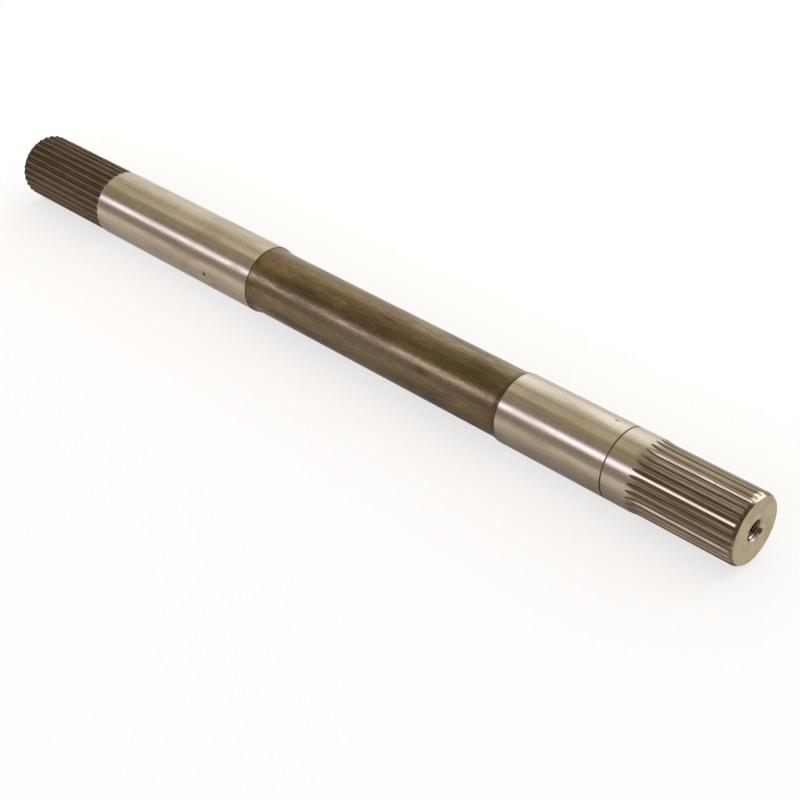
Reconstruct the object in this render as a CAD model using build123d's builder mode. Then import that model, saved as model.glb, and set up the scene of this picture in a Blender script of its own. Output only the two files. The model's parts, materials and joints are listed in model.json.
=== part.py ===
import os
from math import radians, sqrt, tan

from build123d import *

# Transmission input shaft: one steel bar, turned between centres, splined at both ends,
# hardened and ground on its two journals. Its axis is X and the tapped end looks along +X.
# The origin is on the axis, in the middle of the near bearing journal. Millimetres.

# Lengths along the shaft, in order from the tapped end
near_spline_length = 58.8
near_land_length = 14.3
ring_groove_width = 0.8
near_journal_length = 65.6
near_cone_length = 3.3
centre_length = 171.9
shoulder_cone_length = 2.9
shoulder_land_length = 1.3
far_journal_length = 130.0
far_spline_length = 73.1

# Diameters
near_journal_diameter = 38.1
far_journal_diameter = 38.5
shoulder_land_diameter = 38.0    # left as turned, a little below the ground journal
centre_diameter = 36.3
near_spline_diameter = 37.0
far_spline_diameter = 37.8
ring_groove_depth = 0.9

# Spline at the tapped end
near_teeth = 31
near_tooth_depth = 0.85
near_root_width = 0.5           # floor of the gap between two teeth
near_flank_angle = 46.5         # of each flank, from the middle plane of its gap
near_gap_angle = 138.6          # where the first gap stands, about X from +Y
near_slope_length = 4.4         # cone from the tooth tips up to the journal
near_gap_overlap = 0.5          # how far the gaps run out past that cone, into the journal
near_hob_radius = 24.0
near_chamfer_depth = 1.15       # deeper than the teeth, so the end face is a plain disc
near_chamfer_angle = 30.0

# Spline at the far end
far_teeth = 29
far_tooth_depth = 1.45
far_root_width = 1.06
far_flank_angle = 33.0
far_gap_angle = 144.8
far_slope_length = 1.0
far_gap_overlap = 0.8
far_hob_radius = 6.0
far_chamfer_depth = 1.6         # deeper than these teeth too
far_chamfer_angle = 45.0

cutter_overrun = 0.5            # how far a cutter stands clear of the steel that it leaves

# Centre holes: tapped at the near end, plain at the far end
centre_angle = 60.0
drill_point_angle = 118.0
near_centre_diameter = 12.1
tapping_drill_diameter = 8.5
tapping_drill_depth = 32.0
far_centre_diameter = 9.0
far_pilot_diameter = 4.0
far_pilot_depth = 10.0

near_journal_radius = near_journal_diameter / 2
far_journal_radius = far_journal_diameter / 2
near_tip_radius = near_spline_diameter / 2
far_tip_radius = far_spline_diameter / 2

# Stations along X, from the tapped end to the far end
groove_near_x = near_journal_length / 2 + ring_groove_width
near_spline_end_x = groove_near_x + near_land_length
near_face_x = near_spline_end_x + near_spline_length
groove_far_x = groove_near_x - ring_groove_width
near_journal_end_x = groove_far_x - near_journal_length
centre_near_x = near_journal_end_x - near_cone_length
centre_far_x = centre_near_x - centre_length
shoulder_x = centre_far_x - shoulder_cone_length
far_journal_near_x = shoulder_x - shoulder_land_length
far_journal_end_x = far_journal_near_x - far_journal_length
far_face_x = far_journal_end_x - far_spline_length


def chamfer_length(depth, angle):
    """Length along the shaft of a chamfer that is given by its radial depth and its angle to the axis."""
    return depth / tan(radians(angle))


def hobbed_gap(tip_radius, tooth_depth, root_width, flank_angle, journal_radius, hob_radius, end_x, face_x):
    """What the hob takes out between two teeth: local Z is the shaft's axis, and the gap stands on local +X.

    The straight run leaves through the end face at face_x. The run-out is an arc of the hob's radius, which
    climbs from the root and leaves the steel at end_x.
    """
    outward = 1 if face_x > end_x else -1
    root_radius = tip_radius - tooth_depth
    surface_radius = max(journal_radius, tip_radius)
    climb = surface_radius - root_radius
    full_depth_x = end_x + outward * sqrt(2 * hob_radius * climb - climb**2)
    straight_length = abs(face_x - full_depth_x) + cutter_overrun
    outer_radius = surface_radius + cutter_overrun
    half_root = root_width / 2
    half_outer = half_root + (outer_radius - root_radius) * tan(radians(flank_angle))
    with BuildPart() as gap:
        with BuildSketch(Plane.XY.offset(full_depth_x)) as section:
            with BuildLine():
                Polyline(
                    (root_radius, -half_root),
                    (root_radius, half_root),
                    (outer_radius, half_outer),
                    (outer_radius, -half_outer),
                    close=True,
                )
            make_face()
        extrude(amount=outward * straight_length)
        hob_axis = Axis((root_radius + hob_radius, 0, full_depth_x), (0, -outward, 0))
        revolve(section.sketch, axis=hob_axis, revolution_arc=80)
    return gap.part


def centre_hole(mouth_radius, bore_radius, bore_depth):
    """A centre hole to be cut at the origin of a face, into local -Z: countersink, bore and drill point."""
    cone_depth = (mouth_radius - bore_radius) / tan(radians(centre_angle / 2))
    point_depth = bore_radius / tan(radians(drill_point_angle / 2))
    with BuildPart() as hole:
        with BuildSketch(Plane.XZ):
            with BuildLine():
                Polyline(
                    (0, 0),
                    (mouth_radius, 0),
                    (bore_radius, -cone_depth),
                    (bore_radius, -bore_depth),
                    (0, -bore_depth - point_depth),
                    close=True,
                )
            make_face()
        revolve(axis=Axis.Z)
    return hole.part


near_gap = hobbed_gap(
    near_tip_radius,
    near_tooth_depth,
    near_root_width,
    near_flank_angle,
    near_journal_radius,
    near_hob_radius,
    near_spline_end_x - near_gap_overlap,
    near_face_x,
)
far_gap = hobbed_gap(
    far_tip_radius,
    far_tooth_depth,
    far_root_width,
    far_flank_angle,
    far_journal_radius,
    far_hob_radius,
    far_journal_end_x + far_gap_overlap,
    far_face_x,
)
tapped_hole = centre_hole(near_centre_diameter / 2, tapping_drill_diameter / 2, tapping_drill_depth)
plain_centre = centre_hole(far_centre_diameter / 2, far_pilot_diameter / 2, far_pilot_depth)

with BuildPart(Plane.YZ) as input_shaft:
    # The turned bar: half of its outline, swung round the axis
    with BuildSketch(Plane.XY):
        with BuildLine():
            Polyline(
                (near_face_x, 0),
                (near_face_x, near_tip_radius - near_chamfer_depth),
                (near_face_x - chamfer_length(near_chamfer_depth, near_chamfer_angle), near_tip_radius),
                (near_spline_end_x + near_slope_length, near_tip_radius),
                (near_spline_end_x, near_journal_radius),
                (groove_near_x, near_journal_radius),
                (groove_near_x, near_journal_radius - ring_groove_depth),
                (groove_far_x, near_journal_radius - ring_groove_depth),
                (groove_far_x, near_journal_radius),
                (near_journal_end_x, near_journal_radius),
                (centre_near_x, centre_diameter / 2),
                (centre_far_x, centre_diameter / 2),
                (shoulder_x, shoulder_land_diameter / 2),
                (far_journal_near_x, shoulder_land_diameter / 2),
                (far_journal_near_x, far_journal_radius),
                (far_journal_end_x, far_journal_radius),
                (far_journal_end_x - far_slope_length, far_tip_radius),
                (far_face_x + chamfer_length(far_chamfer_depth, far_chamfer_angle), far_tip_radius),
                (far_face_x, far_tip_radius - far_chamfer_depth),
                (far_face_x, 0),
                close=True,
            )
        make_face()
    revolve(axis=Axis.X)

    # The splines: one gap of each, repeated round the axis
    with PolarLocations(0, near_teeth, start_angle=near_gap_angle):
        add(near_gap, mode=Mode.SUBTRACT)
    with PolarLocations(0, far_teeth, start_angle=far_gap_angle):
        add(far_gap, mode=Mode.SUBTRACT)

    # The centre holes that the shaft was turned and ground on
    with Locations(Location((0, 0, near_face_x))):
        add(tapped_hole, mode=Mode.SUBTRACT)
    with Locations(Location((0, 0, far_face_x), (180, 0, 0))):
        add(plain_centre, mode=Mode.SUBTRACT)

input_shaft.part.label = "input_shaft"

os.makedirs("parts", exist_ok=True)
export_step(input_shaft.part, "parts/input_shaft.step")
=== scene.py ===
import json
from math import ceil, cos, pi, radians, sin, tan

import bpy
import numpy as np
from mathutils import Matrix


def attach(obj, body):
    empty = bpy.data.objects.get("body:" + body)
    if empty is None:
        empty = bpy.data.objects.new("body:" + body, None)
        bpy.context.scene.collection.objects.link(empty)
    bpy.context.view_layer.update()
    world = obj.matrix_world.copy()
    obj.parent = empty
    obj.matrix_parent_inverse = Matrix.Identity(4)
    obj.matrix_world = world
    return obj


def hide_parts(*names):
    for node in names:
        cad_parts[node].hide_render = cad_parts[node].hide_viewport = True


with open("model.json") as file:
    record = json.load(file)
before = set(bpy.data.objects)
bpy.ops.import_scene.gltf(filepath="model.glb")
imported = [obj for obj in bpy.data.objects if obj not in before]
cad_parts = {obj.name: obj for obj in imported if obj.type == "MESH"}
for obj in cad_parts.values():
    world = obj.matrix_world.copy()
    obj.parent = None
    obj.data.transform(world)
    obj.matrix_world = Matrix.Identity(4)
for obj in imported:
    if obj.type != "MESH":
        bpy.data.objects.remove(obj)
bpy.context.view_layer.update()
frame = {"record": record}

# The dark centre: the middle of the bar as it was turned and hardened, never ground, so it keeps its brown
# oxide, its lathe lines and the mottling of the quench. A cone at each end climbs to the journal there, with
# a narrow dark land before the ground steel begins. Lengths are in millimetres; mm takes them to metres.
mm = 0.001
mounts = {mount["name"]: mount for mount in frame["record"]["mounts"]}


def measured(name):
    """A mount's place along the shaft, its radius and its length, in millimetres."""
    mount = mounts[name]
    return mount["pos_m"][0] / mm, mount["dims"]["r_mm"], mount["dims"]["length_mm"]


near_journal_x, near_journal_radius, near_journal_length = measured("near_journal")
far_journal_x, far_journal_radius, far_journal_length = measured("far_journal")
near_journal_end = near_journal_x - near_journal_length / 2
far_journal_start = far_journal_x + far_journal_length / 2
near_cone_length = 3.3
centre_radius = 18.15
shoulder_cone_length = 2.9
shoulder_land_length = 1.3
shoulder_land_radius = 19.0
centre_start = near_journal_end - near_cone_length
near_dark_land_length = 0.8
near_ground_end = near_journal_end + near_dark_land_length
near_edge_height = 0.05
land_start = far_journal_start + shoulder_land_length
journal_columns = 240
centre_nick = (-72.35, 197)
centre_scuff = (-83.3, 157.8)


def parabola(start, control, end, t):
    """Where t of the way along a parabola is: (1 - t)^2 start + 2 t (1 - t) control + t^2 end."""
    return (1 - t) ** 2 * start + 2 * t * (1 - t) * control + t**2 * end


def turned_outline(corners, step):
    """Stations along a turned outline, as arrays of x and radius, from its corners (x, radius, rounding).

    Within `rounding` of a corner the outline is a parabola with the corner as its control point. The straight
    between two roundings is cut into stretches of at most `step`, with a short one at each end, which keeps
    the shading of the rounding off the straight. Where two roundings meet, their common point is kept once.
    """
    longest_hold = 0.15
    shortest_run = 0.001
    corner = np.array(corners, float)
    t = np.linspace(0, 1, 5)[:, None]
    blocks = [corner[:1, :2]]
    for before, here, after in zip(corner[:-2], corner[1:-1], corner[2:]):
        back = before[:2] - here[:2]
        on = after[:2] - here[:2]
        start = here[:2] + back * here[2] / np.linalg.norm(back)
        end = here[:2] + on * here[2] / np.linalg.norm(on)
        blocks.append(parabola(start, here[:2], end, t))
    blocks.append(corner[-1:, :2])
    outline = [blocks[0]]
    for block in blocks[1:]:
        run = block[0] - outline[-1][-1]
        length = np.linalg.norm(run)
        if length < shortest_run:
            outline.append(block[1:])
            continue
        hold = min(longest_hold, length / 4)
        along = np.linspace(hold, length - hold, max(2, 1 + ceil(length / step)))[:, None] / length
        outline += [outline[-1][-1] + along * run, block]
    return np.concatenate(outline).T


def points_about_axis(x, angle, radius):
    """Points in metres, (x, r cos a, r sin a), from millimetres and radians, with a going from +Y to +Z."""
    x, angle, radius = np.broadcast_arrays(x, angle, radius)
    return np.stack([x, radius * np.cos(angle), radius * np.sin(angle)], axis=-1) * mm


def even_angles(columns, first=0.0):
    """Angles that go evenly once round the axis, in radians."""
    return first + 2 * pi * np.arange(columns) / columns


def dent(x, angle, radius, place, size, depth):
    """The radius with a bell-shaped dent in it: lowered by depth times e to the minus d squared.

    The dent's place is (x, degrees), and d is the distance from it along and round the shaft, each in units
    of its size there.
    """
    round_shaft = (angle - radians(place[1]) + pi) % (2 * pi) - pi
    distance = ((x - place[0]) / size[0]) ** 2 + (round_shaft * radius / size[1]) ** 2
    return radius - depth * np.exp(-distance)


def strip(ring, next_ring):
    """Triangles between two rings, the finer with a whole number of points for each point of the coarser.

    Each edge of the finer ring goes to the coarse point nearest to it, and each edge of the coarser ring to
    the fine point at its middle.
    """
    forward = len(ring) >= len(next_ring)
    fine, coarse = (ring, next_ring) if forward else (next_ring, ring)
    share = len(fine) // len(coarse)
    nearest = (np.arange(len(fine)) + share // 2) // share % len(coarse)
    middle = (np.arange(len(coarse)) * share + share - share // 2) % len(fine)
    faces = np.concatenate([
        np.stack([fine, np.roll(fine, -1), coarse[nearest]], axis=-1),
        np.stack([fine[middle], np.roll(coarse, -1), coarse], axis=-1),
    ])
    return faces if forward else faces[:, ::-1]


def in_scene(name, data):
    """A new object, put in the scene."""
    made = bpy.data.objects.new(name, data)
    bpy.context.scene.collection.objects.link(made)
    return made


def closed_piece(name, bands, first_pole, last_pole, finishes, sharp_angle=30):
    """A closed mesh object through bands of rings, in the order in which the outline runs.

    A band is (points, finish number), with the points as rings x columns x 3. Quads join the rings of a band,
    triangles join one band to the next and close the two ends at poles on the axis. With x growing on the
    outside of the shaft, every face points outwards.
    """
    points, faces, numbers = [], [], []
    count = 0
    last_ring = None
    for band, number in bands:
        rings, columns = band.shape[:2]
        index = count + np.arange(rings * columns).reshape(rings, columns)
        across = np.roll(index, -1, axis=1)
        quads = np.stack([index[:-1], across[:-1], across[1:], index[1:]], axis=-1).reshape(-1, 4)
        joint = np.stack([np.full(columns, -1), across[0], index[0]], axis=-1)
        if last_ring is not None:
            joint = strip(last_ring, index[0])
        faces += joint.tolist() + quads.tolist()
        numbers += [number] * (len(joint) + len(quads))
        points.append(band.reshape(-1, 3))
        count += rings * columns
        last_ring = index[-1]
    cap = np.stack([np.full(len(last_ring), -2), last_ring, np.roll(last_ring, -1)], axis=-1)
    faces += cap.tolist()
    numbers += [number] * len(cap)
    poles = {-1: count, -2: count + 1}
    faces = [[poles.get(corner, corner) for corner in face] if face[0] < 0 else face for face in faces]
    points.append(np.array([[first_pole, 0, 0], [last_pole, 0, 0]]) * mm)
    mesh = bpy.data.meshes.new(name)
    mesh.from_pydata(np.concatenate(points), [], faces)
    mesh.polygons.foreach_set("material_index", np.array(numbers, np.int32))
    mesh.shade_smooth()
    mesh.set_sharp_from_angle(angle=radians(sharp_angle))
    for finish in finishes:
        mesh.materials.append(finish)
    return in_scene(name, mesh)


class Nodes:
    """A tree of shader nodes, made node by node. Its methods give back the outputs that they made."""

    def __init__(self, tree):
        self.tree = tree

    def feed(self, socket, value):
        """A value, or the output that gives it, put into a socket. A colour is three numbers."""
        if isinstance(value, bpy.types.NodeSocket):
            self.tree.links.new(value, socket)
        else:
            socket.default_value = (*value, 1.0) if socket.type == "RGBA" else value

    def node(self, kind, inputs=None, **settings):
        """The outputs of a node with its settings and its inputs."""
        made = self.tree.nodes.new(kind)
        for setting, value in settings.items():
            setattr(made, setting, value)
        for socket, value in (inputs or {}).items():
            self.feed(made.inputs[socket], value)
        return made.outputs

    def math(self, operation, first, second=0.0):
        """The two values taken together by an operation."""
        return self.node("ShaderNodeMath", {0: first, 1: second}, operation=operation)[0]

    def plus(self, first, second):
        """The two values added."""
        return self.math("ADD", first, second)

    def times(self, first, second):
        """The two values multiplied."""
        return self.math("MULTIPLY", first, second)

    def level(self, value, low, high, to_low=0.0, to_high=1.0):
        """The value taken smoothly from low..high to to_low..to_high, and held level outside."""
        inputs = {"Value": value, "From Min": low, "From Max": high, "To Min": to_low, "To Max": to_high}
        return self.node("ShaderNodeMapRange", inputs, interpolation_type="SMOOTHSTEP")[0]

    def tint(self, share, first, second, blend="MIX"):
        """The first colour with a share, from 0 to 1, of the second in it."""
        inputs = {0: share, 6: first, 7: second}
        return self.node("ShaderNodeMix", inputs, data_type="RGBA", blend_type=blend)[2]

    def stain(self, colour, mark, strength, tone):
        """The colour with the tone in it, by the mark, from 0 to 1, times the strength."""
        return self.tint(self.times(mark, strength), colour, tone)

    def vary(self, colour, share, value, dark, light):
        """The colour times a tone that runs from dark to light with the value, by a share from 0 to 1."""
        return self.tint(share, colour, self.tint(value, dark, light), "MULTIPLY")


class Finish(Nodes):
    """A finish as it is laid on, on the object's own coordinates."""

    def __init__(self, name):
        self.material = bpy.data.materials.new(name)
        self.material.use_nodes = True
        super().__init__(self.material.node_tree)
        self.shader = self.tree.nodes["Principled BSDF"]
        self.place = self.node("ShaderNodeTexCoord")["Object"]
        parts = self.node("ShaderNodeSeparateXYZ", {0: self.place})
        self.along, self.across = parts["X"], parts["Y"]

    def grain(self, along, around, detail=2.0, shift=0.0):
        """Noise, mostly from 0.3 to 0.7, in grains `along` mm long on the axis and `around` mm across it."""
        scale = (1 / (along * mm), 1 / (around * mm), 1 / (around * mm))
        placed = {"Vector": self.place, "Location": (shift,) * 3, "Scale": scale}
        noise = {"Vector": self.node("ShaderNodeMapping", placed)[0], "Scale": 1.0, "Detail": detail}
        return self.node("ShaderNodeTexNoise", noise)[0]

    def kept(self, name):
        """The value that keep_on_mesh kept under a name."""
        return self.node("ShaderNodeAttribute", attribute_name=name)["Fac"]

    def ramp(self, low, high, to_low=0.0, to_high=1.0):
        """A level that follows the place along the shaft, in mm."""
        return self.level(self.along, low * mm, high * mm, to_low, to_high)

    def between(self, low, high, edge):
        """1 between two places along the shaft, in mm, and 0 outside, with edges `edge` mm wide."""
        rise = self.ramp(low - edge / 2, low + edge / 2)
        return self.times(rise, self.ramp(high - edge / 2, high + edge / 2, 1.0, 0.0))

    def spot(self, place, radius, size, soft=0.5):
        """1 inside a mark at a place (x, degrees) on a surface of that radius, and 0 outside.

        The mark is an ellipse of half lengths `size` mm along and round the shaft, soft over a share of it.
        """
        angle = radians(place[1])
        middle = (place[0] * mm, radius * cos(angle) * mm, radius * sin(angle) * mm)
        units = (1 / (size[0] * mm), 1 / (size[1] * mm), 1 / (size[1] * mm))
        away = self.node("ShaderNodeVectorMath", {0: self.place, 1: middle}, operation="SUBTRACT")[0]
        sized = self.node("ShaderNodeVectorMath", {0: away, 1: units}, operation="MULTIPLY")[0]
        distance = self.node("ShaderNodeVectorMath", {0: sized}, operation="LENGTH")["Value"]
        return self.level(distance, 1 - soft, 1.0, 1.0, 0.0)

    def bump(self, height, depth, under=None):
        """A normal from a height of 0 to 1 that stands for `depth` mm, laid over the bump `under` it."""
        inputs = {"Height": height, "Distance": depth * mm}
        if under is not None:
            inputs["Normal"] = under
        return self.node("ShaderNodeBump", inputs)[0]

    def lay(self, **layers):
        """The material, with each layer, as a value or an output, set on the shader's own socket."""
        sockets = {
            "colour": "Base Color",
            "roughness": "Roughness",
            "metal": "Metallic",
            "normal": "Normal",
            "shine": "Specular IOR Level",
            "glow": "Emission Strength",
            "glow_colour": "Emission Color",
        }
        for layer, value in layers.items():
            self.feed(self.shader.inputs[sockets[layer]], value)
        return self.material


def dark_centre_finish():
    """Brown oxide on turned steel: mottling, rusty and olive patches, lathe lines, a nick and a scuff, with a
    painted highlight band and painted shade on the near cone.
    """
    finish = Finish("dark_turned_steel")
    mottle = finish.level(finish.grain(46, 8, detail=5), 0.36, 0.64)
    colour = finish.tint(mottle, (0.15, 0.104, 0.06), (0.25, 0.183, 0.109))
    rusty = finish.level(finish.grain(34, 6.5, detail=4, shift=3.1), 0.57, 0.7, 0.0, 0.3)
    colour = finish.tint(rusty, colour, (0.28, 0.172, 0.095))
    olive = finish.level(finish.grain(70, 12, detail=3, shift=7.7), 0.5, 0.66, 0.0, 0.55)
    colour = finish.tint(olive, colour, (0.208, 0.163, 0.076))
    speckle = finish.level(finish.grain(0.9, 0.6, detail=3, shift=1.7), 0.3, 0.7)
    lines = finish.level(finish.grain(0.45, 18, detail=2, shift=5.3), 0.3, 0.7)
    colour = finish.vary(colour, 0.3, speckle, (0.55, 0.53, 0.5), (1.4, 1.38, 1.35))
    streaks = finish.level(finish.grain(7, 0.7, detail=3, shift=6.4), 0.36, 0.64)
    colour = finish.vary(colour, 0.6, streaks, (0.72, 0.7, 0.68), (1.26, 1.27, 1.28))
    # Painted highlight: a long lighter band just under the bright line, which widens it downwards.
    painted_highlight = finish.spot((-120, 157), centre_radius, (120, 5.5), soft=1.0)
    colour = finish.stain(colour, painted_highlight, 0.7, (0.32, 0.25, 0.178))
    greyer = finish.spot((-120, 176), centre_radius, (160, 9), soft=1.0)
    colour = finish.stain(colour, greyer, 0.5, (0.205, 0.165, 0.118))
    # Darker along the upper side of the near part of the centre.
    darker_upper_band = finish.spot((-48, 115), centre_radius, (80, 10), soft=1.0)
    colour = finish.stain(colour, darker_upper_band, 0.6, (0.09, 0.067, 0.036))
    upper = finish.spot((-122, 118), centre_radius, (120, 9), soft=0.9)
    patches = finish.level(finish.grain(13, 3.2, detail=4, shift=8.1), 0.47, 0.62, 0.0, 0.45)
    colour = finish.stain(colour, upper, patches, (0.1, 0.074, 0.04))
    lathe_marks = finish.ramp(centre_start - 14, centre_start - 3, 0.14, 0.4)
    colour = finish.vary(colour, lathe_marks, lines, (0.7, 0.7, 0.7), (1.25, 1.25, 1.25))
    # Painted shade: the near cone and the dark land after it are darkened where the slope turns the bright
    # line away.
    painted_cone_shade = finish.ramp(centre_start - 1, near_journal_end, 0.0, 0.55)
    colour = finish.tint(painted_cone_shade, colour, (0.07, 0.05, 0.032))
    stain = finish.spot((land_start - 0.4, 118), shoulder_land_radius, (3.4, 7.0), soft=0.9)
    broken = finish.level(finish.grain(3.5, 2.6, detail=4, shift=2.2), 0.42, 0.6)
    colour = finish.stain(colour, stain, broken, (0.16, 0.105, 0.03))
    nick = finish.spot(centre_nick, centre_radius, (1.5, 1.2), soft=0.7)
    colour = finish.stain(colour, nick, 0.9, (0.04, 0.03, 0.02))
    scuff = finish.spot(centre_scuff, centre_radius, (7, 2.8), soft=0.8)
    frayed = finish.level(finish.grain(3, 0.9, detail=4, shift=4.9), 0.36, 0.56, 0.25, 0.75)
    colour = finish.stain(colour, scuff, frayed, (0.085, 0.063, 0.042))
    roughness = finish.plus(finish.level(mottle, 0, 1, 0.28, 0.22), finish.level(speckle, 0, 1, -0.03, 0.05))
    roughness = finish.plus(roughness, finish.level(streaks, 0, 1, 0.04, -0.03))
    normal = finish.bump(speckle, 0.01, finish.bump(lines, 0.004))
    return finish.lay(metal=1.0, colour=colour, roughness=roughness, normal=normal)


centre_outline = turned_outline(
    [
        (far_journal_start, shoulder_land_radius, 0),
        (land_start, shoulder_land_radius, 0.3),
        (land_start + shoulder_cone_length, centre_radius, 0.8),
        (centre_start, centre_radius, 0.8),
        (near_journal_end, near_journal_radius - near_edge_height, 0.5),
        (near_ground_end, near_journal_radius - near_edge_height, 0),
    ],
    step=6.0,
)
fine_stations = np.arange(centre_nick[0] - 2.0, centre_nick[0] + 2.0, 0.25)
centre_x = np.unique(np.append(centre_outline[0], fine_stations))[:, None]
journal_angle = even_angles(journal_columns)
centre_surface = np.interp(centre_x, *centre_outline)
centre_surface = dent(centre_x, journal_angle, centre_surface, centre_nick, (0.7, 0.5), 0.12)
dark_centre = closed_piece(
    "dark_centre",
    [(points_about_axis(centre_x, journal_angle, centre_surface), 0)],
    far_journal_start,
    near_ground_end,
    [dark_centre_finish()],
)
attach(dark_centre, "root")
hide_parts("input_shaft")


# The near journal and the land beside it: hardened and ground bright between centres, with a narrow turned
# groove for a snap ring between them. At its other end the grinding stops at a crisp line on the dark land.
ring_groove_x, ring_groove_radius, ring_groove_width = measured("ring_groove")
near_land_length = 14.3
groove_near_side = ring_groove_x + ring_groove_width / 2
groove_far_side = ring_groove_x - ring_groove_width / 2
near_spline_start = groove_near_side + near_land_length
near_seam_inset = 1.35
near_seam = near_spline_start - near_seam_inset
journal_pit = (24.4, 78.6)


def ground_layers(finish):
    """Colour, roughness and normal of the ground steel: soft clouds, faint stains and fine lines round it."""
    clouds = finish.level(finish.grain(38, 14, detail=3), 0.34, 0.66)
    colour = finish.tint(clouds, (0.475, 0.415, 0.335), (0.555, 0.49, 0.405))
    stains = finish.level(finish.grain(26, 9, detail=4, shift=4.4), 0.55, 0.68, 0.0, 0.5)
    colour = finish.tint(stains, colour, (0.43, 0.355, 0.25))
    lines = finish.level(finish.grain(0.16, 26, detail=2, shift=8.8), 0.3, 0.7)
    colour = finish.vary(colour, 0.3, lines, (0.8, 0.8, 0.8), (1.12, 1.12, 1.12))
    fine = finish.level(finish.grain(30, 1.2, detail=3, shift=1.9), 0.35, 0.65)
    colour = finish.vary(colour, 0.5, fine, (0.9, 0.9, 0.9), (1.1, 1.1, 1.1))
    roughness = finish.plus(finish.level(clouds, 0, 1, 0.2, 0.15), finish.level(stains, 0, 0.5, 0.0, 0.08))
    roughness = finish.plus(roughness, finish.level(lines, 0, 1, -0.02, 0.03))
    scuffs = finish.level(finish.grain(5, 0.55, detail=3, shift=5.8), 0.6, 0.7, 0.0, 0.35)
    colour = finish.tint(scuffs, colour, (0.24, 0.19, 0.14))
    return colour, roughness, finish.bump(lines, 0.0016)


def with_run_out_stain(finish, colour):
    """The colour with a faint brown stain in it, on the land and on the teeth where their gaps run out."""
    stain = finish.spot((near_spline_start + 0.25, 116), near_journal_radius, (4.5, 5.5), soft=0.9)
    return finish.stain(colour, stain, 0.5, (0.26, 0.195, 0.1))


def near_journal_finish():
    """Ground steel, with the dark pit, a lighter patch beside it, and the groove darker and rougher."""
    finish = Finish("ground_steel_near")
    colour, roughness, normal = ground_layers(finish)
    pit = finish.spot(journal_pit, near_journal_radius, (2.2, 0.9), soft=0.9)
    halo = finish.spot((24.95, 79.5), near_journal_radius, (3.6, 1.3), soft=0.8)
    colour = finish.stain(colour, halo, 0.3, (0.62, 0.57, 0.5))
    colour = finish.tint(pit, colour, (0.09, 0.072, 0.052))
    groove = finish.between(groove_far_side + 0.02, groove_near_side - 0.02, 0.04)
    colour = with_run_out_stain(finish, finish.tint(groove, colour, (0.3, 0.235, 0.17)))
    roughness = finish.plus(roughness, finish.level(finish.plus(groove, pit), 0, 1, 0.0, 0.35))
    return finish.lay(metal=1.0, colour=colour, roughness=roughness, normal=normal)


def with_fine_stations(outline, place, reach, step, clear):
    """An outline, as x and radius, with finer stations round a place on a cylinder.

    Its own stations within `clear` of the place give way to new ones every `step` within `reach` of it.
    """
    before = outline[:, outline[0] < place - clear]
    after = outline[:, outline[0] > place + clear]
    fine = np.arange(place - reach, place + reach, step)
    return np.concatenate([before, [fine, np.full(len(fine), before[1, -1])], after], axis=1)


near_journal_outline = turned_outline(
    [
        (near_ground_end, near_journal_radius - near_edge_height, 0),
        (near_ground_end, near_journal_radius, near_edge_height),
        (groove_far_side, near_journal_radius, 0.06),
        (groove_far_side, ring_groove_radius, 0.12),
        (groove_near_side, ring_groove_radius, 0.12),
        (groove_near_side, near_journal_radius, 0.06),
        (near_seam, near_journal_radius, 0),
    ],
    step=5.0,
)
near_journal_outline = with_fine_stations(near_journal_outline, journal_pit[0], 2.2, 0.22, 2.3)
journal_x, journal_surface = near_journal_outline[:, :, None]
journal_surface = dent(journal_x, journal_angle, journal_surface, journal_pit, (0.9, 0.4), 0.03)
near_journal = closed_piece(
    "near_journal",
    [(points_about_axis(journal_x, journal_angle, journal_surface), 0)],
    near_ground_end,
    near_seam,
    [near_journal_finish()],
)
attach(near_journal, "root")
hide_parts("input_shaft")


# The far journal: the longest ground length, a little thicker than the near one. Its edge at the shoulder is
# a sharp step over the dark land, and the far spline's gaps run out into its other end.
far_journal_end = far_journal_x - far_journal_length / 2
far_seam_inset = 1.75
far_seam = far_journal_end + far_seam_inset
far_journal_nick = (-246.45, 186.2)


def far_journal_finish():
    """Ground steel, with its nick, two faint ring stains, a faint spot, long smears and the dark step."""
    finish = Finish("ground_steel_far")
    colour, roughness, normal = ground_layers(finish)
    smear = finish.spot((-235.45, 91), far_journal_radius, (22, 4.5), soft=0.9)
    streaks = finish.level(finish.grain(30, 1.6, detail=3, shift=6.1), 0.45, 0.62)
    smear = finish.times(smear, streaks)
    colour = finish.stain(colour, smear, 0.45, (0.4, 0.34, 0.26))
    for stain_x, stain_angle, stain_size in ((-263.85, 106, 3.4), (-299.05, 105, 2.8)):
        outer = finish.spot((stain_x, stain_angle), far_journal_radius, (stain_size,) * 2, soft=0.25)
        inner = finish.spot((stain_x, stain_angle), far_journal_radius, (stain_size * 0.8,) * 2, soft=0.3)
        edge = finish.math("SUBTRACT", outer, inner)
        colour = finish.stain(colour, edge, 0.35, (0.36, 0.3, 0.22))
    nick = finish.spot(far_journal_nick, far_journal_radius, (1.5, 1.2), soft=0.4)
    faint_spot = finish.spot((-238.15, 198), far_journal_radius, (2.2, 1.3), soft=0.7)
    colour = finish.stain(colour, faint_spot, 0.7, (0.22, 0.17, 0.11))
    colour = finish.tint(nick, colour, (0.02, 0.015, 0.01))
    step = finish.between(far_journal_start - 0.06, far_journal_start + 1, 0.08)
    colour = finish.tint(step, colour, (0.09, 0.068, 0.045))
    roughness = finish.plus(roughness, finish.level(smear, 0, 1, 0.0, 0.12))
    return finish.lay(metal=1.0, colour=colour, roughness=roughness, normal=normal)


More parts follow.
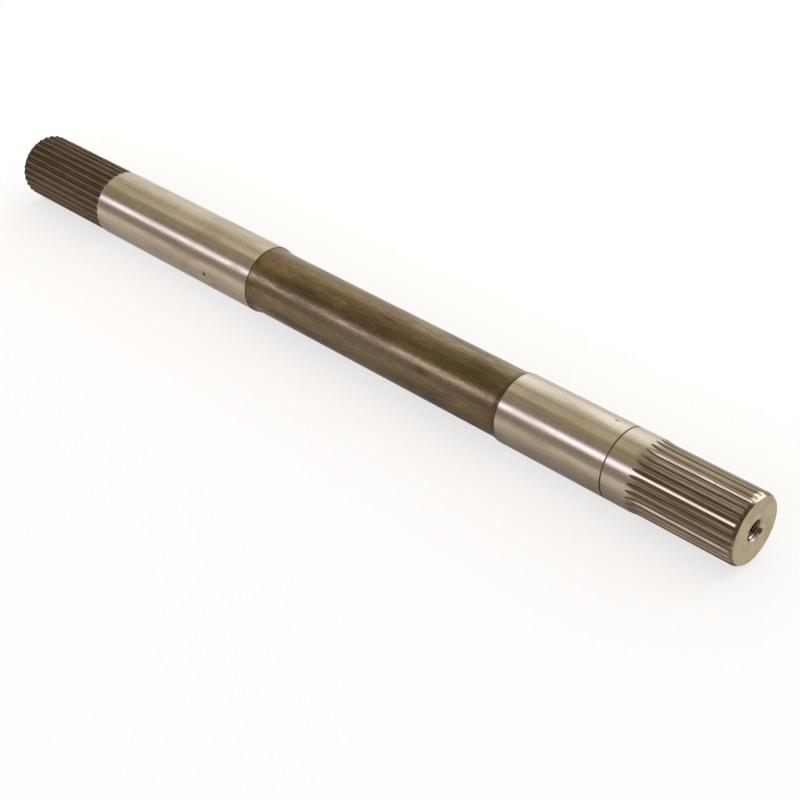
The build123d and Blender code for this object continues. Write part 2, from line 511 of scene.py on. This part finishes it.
far_journal_outline = turned_outline(
    [
        (far_seam, far_journal_radius, 0),
        (far_journal_start, far_journal_radius, 0.08),
        (far_journal_start, shoulder_land_radius - 1.0, 0),
    ],
    step=5.0,
)
far_journal_outline = with_fine_stations(far_journal_outline, far_journal_nick[0], 1.8, 0.2, 1.85)
far_x, far_surface = far_journal_outline[:, :, None]
far_surface = dent(far_x, journal_angle, far_surface, far_journal_nick, (0.6, 0.5), 0.15)
far_journal = closed_piece(
    "far_journal",
    [(points_about_axis(far_x, journal_angle, far_surface), 0)],
    far_seam,
    far_journal_start,
    [far_journal_finish()],
)
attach(far_journal, "root")
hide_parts("input_shaft")


# The near spline: 31 teeth hobbed into the bar, whose gaps run out in points on the ground land. Its end is
# chamfered and faced, and holds the centre hole that was drilled and tapped for the end screw.
near_face = mounts["near_end_face"]["pos_m"][0] / mm
near_tip_radius = mounts["near_spline"]["dims"]["r_mm"]
tapping_drill_radius = mounts["near_end_thread"]["dims"]["r_mm"]
near_teeth = 31
near_tooth_depth = 0.85
near_half_root = 0.25
near_flank_angle = 46.5
near_first_gap = radians(138.6)
near_slope_length = 4.4
near_gap_overlap = 0.5
near_hob_radius = 24.0
near_chamfer_depth = 1.15
near_chamfer_angle = 30.0
thread_pitch = 1.5
thread_root_radius = 5.0
thread_length = 20.0
hole_mouth_radius = 6.05
hole_depth = 32.0
drill_point_angle = 118.0
tooth_nick = (85.43, 103.0)
painted_highlight_tooth = (78.55, 144.45)
columns_per_tooth = 24
flank_mark = 0.45
least_rise = 0.004
least_gap = 0.005


def gap_floor(x, root, hob_radius, full_depth_x, outward):
    """Radius of the floor of the gaps: the root, and behind full_depth_x the hob's arc up from it.

    The arc is root + R - sqrt(R^2 - b^2), a distance b behind, with R the hob's radius.
    """
    behind = np.maximum(0, (full_depth_x - x) * outward)
    return root + hob_radius - np.sqrt(hob_radius**2 - behind**2)


def toothed_section(outside, floor, half_root, flank_angle, teeth, first_gap, root_rounding, tip_rounding):
    """Angle and radius of the points of a splined ring, for arrays of outside and floor radii, one per ring.

    Half a tooth's pitch starts in the middle of a gap. With X radial and Y across, the section runs along the
    flat of the floor, up a flank that stands flank_angle off X, and round the tooth's top to its middle. The
    flank stands out from its chord by a parabola of a share of its length, about as a hob generates it, and
    parabolas round the corners at the floor and at the top. The other half is its mirror image, and the pitch
    is repeated for each tooth.
    """
    bulge_share = 0.03
    slope = tan(radians(flank_angle))
    flank = np.array([cos(radians(flank_angle)), sin(radians(flank_angle))])
    reach = floor + half_root * slope
    steepness = 1 + slope**2
    spare = outside**2 - floor**2 - half_root**2
    rise = np.maximum((np.sqrt(np.maximum(reach**2 + steepness * spare, 0)) - reach) / steepness, least_rise)
    flank_length = rise / flank[0]
    floor_corner = np.stack([floor, half_root], axis=-1)
    tip_corner = floor_corner + flank_length[:, None] * flank
    floor_round = np.minimum(np.minimum(root_rounding, 0.8 * half_root), 0.4 * flank_length)[:, None]
    tip_round = np.minimum(tip_rounding, 0.4 * flank_length)[:, None]
    start = floor_corner - floor_round * np.array([0, 1])
    flank_start = floor_corner + floor_round * flank
    flank_end = tip_corner - tip_round * flank
    tip_angle = np.arctan2(tip_corner[:, 1], tip_corner[:, 0]) + tip_round[:, 0] / outside
    top_start = outside[:, None] * np.stack([np.cos(tip_angle), np.sin(tip_angle)], axis=-1)
    chord = flank_end - flank_start
    off_chord = np.linalg.norm(chord, axis=1)[:, None] * np.array([flank[1], -flank[0]])
    thirds = (1 / 3, 2 / 3, 1)
    across = [floor_corner * np.array([1, 0]), start]
    across += [parabola(start, floor_corner, flank_start, t) for t in thirds]
    across += [flank_start + t * chord + 4 * bulge_share * t * (1 - t) * off_chord for t in thirds]
    across += [parabola(flank_end, tip_corner, top_start, t) for t in thirds[:2]]
    across = np.stack(across, axis=1)
    half_pitch = pi / teeth
    top_angle = tip_angle[:, None] + (half_pitch - tip_angle[:, None]) * np.array([0, 0.35, 1])
    angle = np.concatenate([np.arctan2(across[..., 1], across[..., 0]), top_angle], axis=1)
    radius = np.concatenate([np.hypot(across[..., 0], across[..., 1]), outside[:, None] * np.ones(3)], axis=1)
    angle = np.concatenate([angle, 2 * half_pitch - angle[:, -2:0:-1]], axis=1)
    radius = np.concatenate([radius, radius[:, -2:0:-1]], axis=1)
    turns = first_gap + 2 * half_pitch * np.arange(teeth)[None, :, None]
    angle = (turns + angle[:, None, :]).reshape(len(outside), -1)
    radius = np.tile(radius, (1, teeth))
    return angle, radius


def pointed(half_root, depth):
    """Half the width of a gap's floor in the run-out, where the hob's rounded corner brings it to a point."""
    return half_root * np.sqrt(np.clip(depth / half_root, 0.01, 1))


def thread_groove(turns):
    """Depth of an internal thread, 0 on its crest and 1 at its root, for a place counted in turns.

    From the middle of the groove: a flat root, a straight 60 degree flank and a flat crest.
    """
    from_middle = np.abs(turns % 1.0 - 0.5) * 2
    return np.clip((0.7 - from_middle) / (0.7 - 0.125), 0, 1)


def over_teeth(teeth, *runs):
    """A mark for each column of a toothed ring, from runs (columns, mark) over one tooth, for all of them."""
    return np.tile(np.concatenate([np.full(columns, float(mark)) for columns, mark in runs]), teeth)


def keep_on_mesh(piece, name, values):
    """A value for each point of a closed piece, kept on its mesh for the finish. Its two poles get 0."""
    layer = piece.data.attributes.new(name, "FLOAT", "POINT")
    layer.data.foreach_set("value", np.append(values, [0, 0]).astype(np.float32))


def near_spline_finish():
    """Hobbed steel: brown tops, one with a painted highlight, bright flanks with painted highlights, painted
    shade on the gap floors, dark run-outs and a painted highlight on the chamfer.
    """
    finish = Finish("hobbed_steel_near")
    ground, ground_roughness, normal = ground_layers(finish)
    cut = finish.kept("cut")
    loaded = finish.kept("loaded")
    streak = finish.level(finish.grain(22, 1.3, detail=3, shift=2.9), 0.36, 0.64)
    top = finish.tint(streak, (0.235, 0.187, 0.128), (0.325, 0.262, 0.185))
    # Painted highlight: one tooth top made bright along the line where the front light falls.
    painted_highlight = finish.spot(painted_highlight_tooth, near_tip_radius, (46, 1.4), soft=0.35)
    top = finish.tint(painted_highlight, top, (0.52, 0.43, 0.29))
    # The tops darker over the upper side.
    darker_upper_tops = finish.spot((78, 72), near_tip_radius, (60, 12.5), soft=1.0)
    top = finish.stain(top, darker_upper_tops, 0.6, (0.12, 0.09, 0.055))
    onto_teeth = finish.ramp(near_spline_start - 0.5, near_spline_start + 6)
    top = finish.tint(onto_teeth, ground, top)
    dull = finish.tint(streak, (0.17, 0.128, 0.085), (0.27, 0.215, 0.155))
    driven = finish.tint(streak, (0.25, 0.2, 0.155), (0.38, 0.315, 0.25))
    loaded = finish.level(loaded, 0.25, 0.75)
    flank = finish.tint(loaded, dull, driven)
    # Painted highlights on the flanks: on the loaded ones in a band along the upper side, and on all of them
    # along the underside.
    painted_flank_highlight = finish.spot((77, 98), near_tip_radius, (60, 9.5), soft=0.8)
    underside = finish.times(finish.spot((77, 199), near_tip_radius, (52, 6.5), soft=0.7), 0.7)
    painted_flank_highlight = finish.math("MAXIMUM", finish.times(painted_flank_highlight, loaded), underside)
    flank = finish.tint(painted_flank_highlight, flank, finish.tint(streak, (0.45, 0.37, 0.29), (0.64, 0.54, 0.44)))
    rusty = finish.level(finish.grain(9, 3.5, detail=3, shift=9.4), 0.58, 0.7, 0.0, 0.45)
    flank = finish.tint(rusty, flank, (0.3, 0.19, 0.11))
    in_gap = finish.level(cut, 0.1, 0.4)
    colour = finish.tint(in_gap, top, flank)
    each_tooth = finish.level(finish.grain(180, 3.2, detail=0, shift=6.6), 0.32, 0.68)
    uneven = finish.vary(colour, 1.0, each_tooth, (0.86, 0.85, 0.84), (1.14, 1.15, 1.16))
    colour = finish.tint(onto_teeth, colour, uneven)
    fine = finish.level(finish.grain(11, 0.45, detail=2, shift=0.7), 0.3, 0.7)
    colour = finish.vary(colour, 0.4, fine, (0.75, 0.74, 0.73), (1.2, 1.2, 1.2))
    # Painted shade on the gap floors, and the gaps darker towards their run-outs.
    painted_floor_shade = finish.level(cut, 0.55, 0.95, 0.0, 0.8)
    run_out = finish.ramp(near_spline_start + 1, near_spline_start + 8, 0.5, 0.0)
    darkening = finish.math("MAXIMUM", painted_floor_shade, finish.times(run_out, in_gap))
    colour = with_run_out_stain(finish, finish.tint(darkening, colour, (0.1, 0.062, 0.04)))
    # The chamfer darker, most of all round one side.
    chamfer = finish.ramp(near_face - 2.1, near_face - 1.5)
    chamfer_darker_side = finish.spot((near_face, 130), near_tip_radius, (6, 19), soft=0.8)
    chamfer_darker_side = finish.level(chamfer_darker_side, 0, 1, 0.4, 0.85)
    colour = finish.stain(colour, chamfer, chamfer_darker_side, (0.13, 0.093, 0.05))
    # Painted highlight: a bright patch where the gaps' ends meet the chamfer at the top.
    painted_chamfer_highlight = finish.spot((near_face - 1.5, 85), near_tip_radius, (3.0, 6.5), soft=0.5)
    colour = finish.stain(colour, painted_chamfer_highlight, 0.9, (0.88, 0.78, 0.66))
    nick = finish.spot(tooth_nick, near_tip_radius, (0.8, 0.8), soft=0.5)
    colour = finish.stain(colour, nick, 0.85, (0.05, 0.035, 0.025))
    roughness = finish.plus(ground_roughness, finish.level(in_gap, 0, 1, 0.0, 0.01))
    return finish.lay(metal=1.0, colour=colour, roughness=roughness, normal=normal)


def end_face_finish():
    """The faced end: matt pale steel with a fine even grain and faint marks of the facing tool."""
    finish = Finish("faced_steel")
    clouds = finish.level(finish.grain(7, 7, detail=4, shift=1.1), 0.36, 0.64)
    colour = finish.tint(clouds, (0.445, 0.412, 0.304), (0.535, 0.502, 0.384))
    fine = finish.level(finish.grain(0.35, 0.35, detail=2, shift=5.0), 0.3, 0.7)
    colour = finish.vary(colour, 0.35, fine, (0.75, 0.75, 0.74), (1.15, 1.15, 1.14))
    flat = finish.node("ShaderNodeVectorMath", {0: finish.place, 1: (0, 1, 1)}, operation="MULTIPLY")[0]
    out = finish.node("ShaderNodeVectorMath", {0: flat}, operation="LENGTH")["Value"]
    ring_place = finish.node("ShaderNodeCombineXYZ", {0: finish.times(out, 1 / (0.3 * mm))})[0]
    rings = finish.node("ShaderNodeTexNoise", {"Vector": ring_place, "Scale": 1.0, "Detail": 2.0})[0]
    # A dark brown spot at the mouth of the hole.
    brown_mouth_spot = finish.spot((near_face, 329), hole_mouth_radius + 0.1, (1.6, 1.9), soft=0.4)
    colour = finish.tint(brown_mouth_spot, colour, (0.12, 0.08, 0.04))
    normal = finish.bump(fine, 0.01, finish.bump(rings, 0.006))
    return finish.lay(metal=1.0, colour=colour, roughness=0.48, normal=normal)


def tapped_hole_finish():
    """The tapped hole: cut steel at its mouth, painted shade in the thread roots and further in, a painted
    highlight low on the crests and painted shade on the countersink's upper part.
    """
    finish = Finish("tapped_steel")
    root = finish.kept("cut")
    darkening = finish.level(finish.grain(1.1, 1.6, detail=3, shift=3.3), 0.42, 0.62)
    crest = finish.tint(darkening, (0.2, 0.165, 0.12), (0.11, 0.085, 0.055))
    # Painted highlight: near-white crests low in the hole and on the countersink there.
    painted_crest_highlight = finish.spot((near_face - 2.4, 277), tapping_drill_radius + 0.6, (3.6, 2.4), soft=0.4)
    crest = finish.tint(painted_crest_highlight, crest, (0.9, 0.88, 0.84))
    # Painted shade: the thread roots dark, and the whole hole darker further in from its mouth.
    threads = finish.tint(root, crest, (0.05, 0.037, 0.024))
    mouth = finish.ramp(near_face - 9, near_face - 4)
    colour = finish.tint(mouth, (0.03, 0.022, 0.015), threads)
    cone = finish.ramp(near_face - 1.3, near_face - 0.8)
    # Painted shade on the upper part of the countersink.
    shade = finish.spot((near_face - 0.8, 62), hole_mouth_radius - 0.5, (1.6, 3.4), soft=0.9)
    rim = finish.stain((0.5, 0.455, 0.345), shade, 0.8, (0.13, 0.105, 0.05))
    rim = finish.tint(painted_crest_highlight, rim, (0.85, 0.83, 0.78))
    colour = finish.tint(cone, colour, rim)
    # A dark brown spot at the mouth of the hole.
    brown_mouth_spot = finish.spot((near_face - 0.3, 329), hole_mouth_radius - 0.1, (1.6, 1.9), soft=0.4)
    colour = finish.tint(brown_mouth_spot, colour, (0.12, 0.08, 0.04))
    roughness = finish.plus(finish.level(darkening, 0, 1, 0.14, 0.3), finish.level(cone, 0, 1, 0.0, 0.2))
    return finish.lay(metal=1.0, colour=colour, roughness=roughness)


near_root = near_tip_radius - near_tooth_depth
near_climb = near_journal_radius - near_root
near_gap_tip = near_spline_start - near_gap_overlap
near_full_depth = near_gap_tip + (2 * near_hob_radius * near_climb - near_climb**2) ** 0.5
near_chamfer_length = near_chamfer_depth / tan(radians(near_chamfer_angle))
near_chamfer_start = near_face - near_chamfer_length
near_gap_mouth = near_chamfer_start + near_tooth_depth / tan(radians(near_chamfer_angle))
near_outside_x, near_outside = turned_outline(
    [
        (near_seam, near_journal_radius, 0),
        (near_spline_start, near_journal_radius, 1.0),
        (near_spline_start + near_slope_length, near_tip_radius, 1.8),
        (near_chamfer_start, near_tip_radius, 0),
        (near_face, near_tip_radius - near_chamfer_depth, 0),
    ],
    step=2.5,
)
near_x = np.unique(
    np.concatenate(
        [
            np.linspace(near_seam, near_gap_tip, 4),
            near_gap_tip + (near_full_depth - near_gap_tip) * np.linspace(0, 1, 30) ** 2,
            np.linspace(near_full_depth, near_chamfer_start, 24),
            np.arange(tooth_nick[0] - 1.2, tooth_nick[0] + 1.2, 0.2),
            np.linspace(near_chamfer_start, near_gap_mouth, 9),
            np.linspace(near_gap_mouth, near_face - 0.08, 3),
        ]
    )
)
near_outside_radius = np.interp(near_x, near_outside_x, near_outside)
near_floor = gap_floor(near_x, near_root, near_hob_radius, near_full_depth, 1)
near_depth = near_outside_radius - near_floor
in_run_out = near_x < near_full_depth
near_half_floor = np.where(in_run_out, pointed(near_half_root, near_depth), near_half_root)
near_angle, near_radius = toothed_section(
    near_outside_radius,
    np.minimum(near_floor, near_outside_radius - least_rise),
    near_half_floor,
    near_flank_angle,
    near_teeth,
    near_first_gap,
    root_rounding=0.22,
    tip_rounding=0.16,
)
has_gap = (near_depth > least_gap)[:, None]
near_radius = np.where(has_gap, near_radius, near_outside_radius[:, None])
near_radius = dent(near_x[:, None], near_angle, near_radius, tooth_nick, (0.45, 0.5), 0.25)
hobbed = over_teeth(near_teeth, (4, 1), (6, flank_mark), (5, 0), (6, flank_mark), (3, 1))
near_cut = np.where(has_gap, hobbed, 0.0)
near_loaded = np.where(has_gap, over_teeth(near_teeth, (15, 0), (6, 1), (3, 0)), 0.0)

# Its face and hole: the toothed ring is drawn in over the flat of the face to an even one, which hands on to
# a coarser ring for the hole. The hole is the larger of the countersink and the thread.
near_columns = near_teeth * columns_per_tooth
hole_columns = near_columns // 6
face_edge = near_tip_radius - near_chamfer_depth - 0.06
fine_angle = even_angles(near_columns, near_first_gap)
face_angle = near_angle[-1] + np.array([0, 0, 1])[:, None] * (fine_angle - near_angle[-1])
face_radius = np.array([face_edge, face_edge - 0.12, face_edge - 1.0])[:, None]
face_band = points_about_axis(near_face, face_angle, face_radius)
hole_angle = even_angles(hole_columns, near_first_gap)
inner_radius = np.array([15.0, 10.0, 6.6, hole_mouth_radius + 0.1])[:, None]
inner_face = points_about_axis(near_face, hole_angle, inner_radius)
fine_depth = np.arange(0.08, 6.0, 0.0625)
coarse_depth = np.arange(6.0, thread_length, 0.15)
bore_depth = np.r_[thread_length, 24.0, 28.0, hole_depth]
depth = np.concatenate([fine_depth, coarse_depth, bore_depth])[:, None]
cone = hole_mouth_radius - depth * tan(radians(30))
groove_depth = thread_root_radius - tapping_drill_radius
groove_depth = groove_depth * np.clip((thread_length - depth) / thread_pitch, 0, 1)
turns = (near_face - depth) / thread_pitch - hole_angle / (2 * pi)
hole_radius = np.maximum(cone, tapping_drill_radius + groove_depth * thread_groove(turns))
hole_band = points_about_axis(near_face - depth, hole_angle, hole_radius)
drill_point = near_face - hole_depth - tapping_drill_radius / tan(radians(drill_point_angle / 2))
near_spline = closed_piece(
    "near_spline",
    [
        (points_about_axis(near_x[:, None], near_angle, near_radius), 0),
        (face_band, 1),
        (inner_face, 1),
        (hole_band, 2),
    ],
    near_seam,
    drill_point,
    [near_spline_finish(), end_face_finish(), tapped_hole_finish()],
    sharp_angle=28,
)
on_face = np.zeros(face_band.size // 3 + inner_face.size // 3)
thread_cut = np.where(depth > 0.9, thread_groove(turns), 0.0)
keep_on_mesh(near_spline, "cut", np.concatenate([near_cut.ravel(), on_face, thread_cut.ravel()]))
keep_on_mesh(near_spline, "loaded", np.concatenate([near_loaded.ravel(), on_face, 0 * thread_cut.ravel()]))
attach(near_spline, "root")
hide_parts("input_shaft")


# The far spline: 29 deeper teeth, left dark from the hardening, whose gaps bite short rounded ends out of the
# ground journal. Its end is chamfered and faced, with the plain centre that the bar was turned on.
far_face = mounts["far_end_face"]["pos_m"][0] / mm
far_tip_radius = mounts["far_spline"]["dims"]["r_mm"]
far_teeth = 29
far_tooth_depth = 1.45
far_half_root = 0.53
far_flank_angle = 33.0
far_first_gap = radians(144.8)
far_slope_length = 1.0
far_gap_overlap = 0.8
far_hob_radius = 6.0
far_chamfer = 1.6
far_mouth_radius = 4.5
far_pilot_radius = 2.0
far_pilot_depth = 10.0


def far_spline_finish():
    """Hobbed steel left dark from the hardening: matt brown, lighter on the tops, with a crisp ground end,
    and painted shade at the far rim and beside the gaps' ends.
    """
    finish = Finish("hobbed_steel_far")
    ground, ground_roughness, normal = ground_layers(finish)
    cut = finish.kept("cut")
    streak = finish.level(finish.grain(16, 2.2, detail=4, shift=2.9), 0.36, 0.64)
    top = finish.tint(streak, (0.165, 0.116, 0.069), (0.23, 0.169, 0.108))
    gap = finish.tint(streak, (0.097, 0.061, 0.033), (0.147, 0.1, 0.059))
    underside = finish.spot((far_journal_end - 36, 182), far_tip_radius, (70, 15), soft=1.0)
    gap = finish.stain(gap, underside, 0.5, (0.21, 0.16, 0.105))
    top = finish.stain(top, underside, 0.4, (0.28, 0.22, 0.155))
    colour = finish.tint(finish.level(cut, 0.3, 0.9), top, gap)
    # Painted shade: the chamfer and the ends of the teeth darkened towards the far face.
    rim = finish.ramp(far_face + 2.2, far_face + 3.2, 0.8, 0.0)
    colour = finish.tint(rim, colour, (0.045, 0.032, 0.022))
    rusty = finish.level(finish.grain(11, 4, detail=3, shift=9.4), 0.56, 0.68, 0.0, 0.5)
    colour = finish.tint(rusty, colour, (0.13, 0.075, 0.04))
    on_journal = finish.ramp(far_journal_end - 0.15, far_journal_end + 0.15)
    ground_share = finish.times(on_journal, finish.level(cut, 0.2, 0.7, 1.0, 0.0))
    # Painted shade: a dark fringe on the journal's ground steel just past the gaps' ends.
    fringe = finish.ramp(far_journal_end + 0.2, far_journal_end + 0.95, 0.55, 0.0)
    colour = finish.tint(ground_share, colour, finish.tint(fringe, ground, (0.12, 0.085, 0.055)))
    rough = finish.level(streak, 0, 1, 0.5, 0.6)
    roughness = finish.node("ShaderNodeMix", {0: ground_share, 2: rough, 3: ground_roughness})[0]
    normal = finish.bump(finish.grain(0.5, 0.5, detail=3, shift=1.3), 0.01, normal)
    return finish.lay(metal=0.7, colour=colour, roughness=roughness, normal=normal)


far_root = far_tip_radius - far_tooth_depth
far_climb = far_journal_radius - far_root
far_gap_tip = far_journal_end + far_gap_overlap
far_full_depth = far_gap_tip - (2 * far_hob_radius * far_climb - far_climb**2) ** 0.5
far_outside_x, far_outside = turned_outline(
    [
        (far_face, far_tip_radius - far_chamfer, 0),
        (far_face + far_chamfer, far_tip_radius, 0),
        (far_journal_end - far_slope_length, far_tip_radius, 0.3),
        (far_journal_end, far_journal_radius, 0.2),
        (far_seam, far_journal_radius, 0),
    ],
    step=3.0,
)
far_spline_x = np.unique(
    np.concatenate(
        [
            np.linspace(far_face + 0.05, far_face + far_chamfer - far_tooth_depth, 3),
            np.linspace(far_face + far_chamfer - far_tooth_depth, far_face + far_chamfer, 9),
            np.linspace(far_face + far_chamfer, far_full_depth, 24),
            far_gap_tip + (far_full_depth - far_gap_tip) * np.linspace(0, 1, 26) ** 2,
            np.linspace(far_gap_tip, far_seam, 4),
        ]
    )
)
far_outside_radius = np.interp(far_spline_x, far_outside_x, far_outside)
far_floor = gap_floor(far_spline_x, far_root, far_hob_radius, far_full_depth, -1)
far_depth = far_outside_radius - far_floor
far_run_out = far_spline_x > far_full_depth
far_half_floor = np.where(far_run_out, pointed(far_half_root, far_depth), far_half_root)
far_angle, far_radius = toothed_section(
    far_outside_radius,
    np.minimum(far_floor, far_outside_radius - least_rise),
    far_half_floor,
    far_flank_angle,
    far_teeth,
    far_first_gap,
    root_rounding=0.3,
    tip_rounding=0.2,
)
far_has_gap = (far_depth > least_gap)[:, None]
far_radius = np.where(far_has_gap, far_radius, far_outside_radius[:, None])
far_columns = far_teeth * columns_per_tooth
far_cut = np.where(far_has_gap, over_teeth(far_teeth, (10, 1), (5, 0), (9, 1)), 0.0)
far_even = even_angles(far_columns, far_first_gap)
far_face_angle = far_angle[0] + np.array([1, 0])[:, None] * (far_even - far_angle[0])
far_face_radius = np.array([far_tip_radius - far_chamfer - 1.2, far_tip_radius - far_chamfer - 0.05])[:, None]
far_face_band = points_about_axis(far_face, far_face_angle, far_face_radius)
centre_depth = (far_mouth_radius - far_pilot_radius) / tan(radians(30))
far_hole_x = far_face + np.array([far_pilot_depth, centre_depth, 0.1, 0, 0, 0, 0])[:, None]
far_mouth = [far_mouth_radius - 0.06, far_mouth_radius + 0.06]
far_hole_radius = np.array([far_pilot_radius] * 2 + far_mouth + [5.2, 10, 15])[:, None]
far_hole = points_about_axis(far_hole_x, even_angles(far_columns // 6, far_first_gap), far_hole_radius)
far_point = far_face + far_pilot_depth + far_pilot_radius / tan(radians(drill_point_angle / 2))
far_spline = closed_piece(
    "far_spline",
    [
        (far_hole, 0),
        (far_face_band, 0),
        (points_about_axis(far_spline_x[:, None], far_angle, far_radius), 0),
    ],
    far_point,
    far_seam,
    [far_spline_finish()],
    sharp_angle=28,
)
on_far_face = np.zeros(far_hole.size // 3 + far_face_band.size // 3)
keep_on_mesh(far_spline, "cut", np.append(on_far_face, far_cut.ravel()))
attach(far_spline, "root")
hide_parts("input_shaft")


# The studio: a plain white floor under the shaft, which shows white to the camera, in the steel and through
# glass, and keeps the shaft's shadow. Its glow in the steel is warm. There it fades in a painted shadow
# beneath the shaft and close beside it, as under a real one, and in painted darkness far out in front, for
# a dark room. It isn't part of the object.
floor_height = -far_journal_radius
floor_half_width = 3.0
floor_glow_seen = 0.67
floor_glow_in_steel = 0.6
shade_middle = 0.015
shade_inner = 0.027
shade_outer = 0.083
floor_mesh = bpy.data.meshes.new("floor")
floor_corners = [(-1, -1), (1, -1), (1, 1), (-1, 1)]
floor_points = [(x * floor_half_width, y * floor_half_width, floor_height * mm) for x, y in floor_corners]
floor_mesh.from_pydata(floor_points, [], [(0, 1, 2, 3)])
floor = in_scene("floor", floor_mesh)
white = Finish("white_floor")
# Painted shadow and darkness in the floor's glow, which only the steel's reflections show.
off_middle = white.math("ABSOLUTE", white.math("SUBTRACT", white.across, shade_middle))
beneath = white.level(white.along, -0.25, -0.02, 0.48, 0.24)
near_shaft = white.level(off_middle, shade_inner, shade_outer, beneath, 1.0)
near_shaft = white.math("MAXIMUM", near_shaft, white.ramp(near_face - 5, near_face + 3))
in_front = white.level(white.across, -0.2, -0.06, 0.15, 1.0)
rays = white.node("ShaderNodeLightPath")
in_steel = white.math("MAXIMUM", rays["Is Glossy Ray"], rays["Is Transmission Ray"])
in_steel = white.times(white.times(near_shaft, in_front), in_steel)
seen = white.times(rays["Is Camera Ray"], floor_glow_seen)
glow = white.plus(seen, white.times(in_steel, floor_glow_in_steel))
glow_colour = white.tint(in_steel, (1.0, 1.0, 1.0), (1.0, 0.86, 0.68))
white.lay(metal=0.0, colour=(0.43, 0.43, 0.44), roughness=1.0, shine=0.0, glow=glow, glow_colour=glow_colour)
floor_mesh.materials.append(white.material)


# The light: a warm grey room, a narrow softbox in front for the bright line along the steel, a warm one
# overhead, and wide ones behind, brighter towards the tapped end. Each faces the shaft's axis from its own
# elevation over the near side, and fades towards its long edges.
softbox_distance = 1.2


def softbox(name, elevation, width, soft, radiance, colour, middle=-0.8, length=3.2, turn=0.0):
    """An area lamp along the shaft that fades over the outer share `soft` of each half of its width.

    Its power is its radiance in the middle times pi times its area. Lengths are in metres, and `turn` swings
    the lamp about the vertical, in degrees.
    """
    lamp = bpy.data.lights.new(name, "AREA")
    lamp.shape = "RECTANGLE"
    lamp.size = length
    lamp.size_y = width
    lamp.energy = radiance * pi * length * width
    lamp.color = colour
    lamp.use_nodes = True
    glow = Nodes(lamp.node_tree)
    place = glow.node("ShaderNodeNewGeometry")["Parametric"]
    across = glow.node("ShaderNodeSeparateXYZ", {0: place})["Y"]
    from_middle = glow.math("ABSOLUTE", glow.math("SUBTRACT", across, 0.5))
    fade = glow.level(from_middle, 0.5 - 0.5 * soft, 0.5, 1.0, 0.0)
    glow.feed(lamp.node_tree.nodes["Emission"].inputs["Strength"], fade)
    stand = in_scene(name, lamp)
    height = radians(elevation)
    stand.location = (middle, -softbox_distance * cos(height), softbox_distance * sin(height))
    stand.rotation_euler = (pi / 2 - height, 0, radians(turn))
    stand.visible_camera = False


softbox("front_softbox", 27.6, 0.61, 1.0, 2.36, (0.765, 0.781, 1.0), turn=5.5)
softbox("overhead_fill", 72.9, 0.96, 0.3, 0.089, (1.0, 0.75, 0.3))
softbox("top_softbox", 91.1, 0.68, 0.25, 0.343, (1.0, 0.943, 0.713))
softbox("back_wide_softbox", 143.1, 1.94, 0.25, 0.354, (1.0, 0.953, 0.726))
softbox("back_softbox", 151.3, 1.57, 0.58, 0.363, (0.733, 0.818, 1.0))
softbox("back_near_softbox", 146.5, 2.25, 0.95, 0.565, (0.793, 0.917, 1.0), middle=0.3, length=2.5)
room = bpy.data.worlds.new("room")
room.use_nodes = True
room.node_tree.nodes["Background"].inputs["Color"].default_value = (0.392, 0.34, 0.278, 1.0)
bpy.context.scene.world = room


# The camera: it looks down the shaft from above its tapped end.
camera_lens = bpy.data.cameras.new("camera")
camera_lens.lens = 76.54
camera_lens.sensor_width = 36.0
camera = in_scene("camera", camera_lens)
camera.location = (399.35 * mm, -539.4 * mm, 484.7 * mm)
camera_azimuth = 43.536
camera_elevation = 34.868
camera.rotation_euler = (radians(90 - camera_elevation), 0, radians(camera_azimuth))
bpy.context.scene.camera = camera
bpy.context.scene.view_settings.view_transform = "Standard"
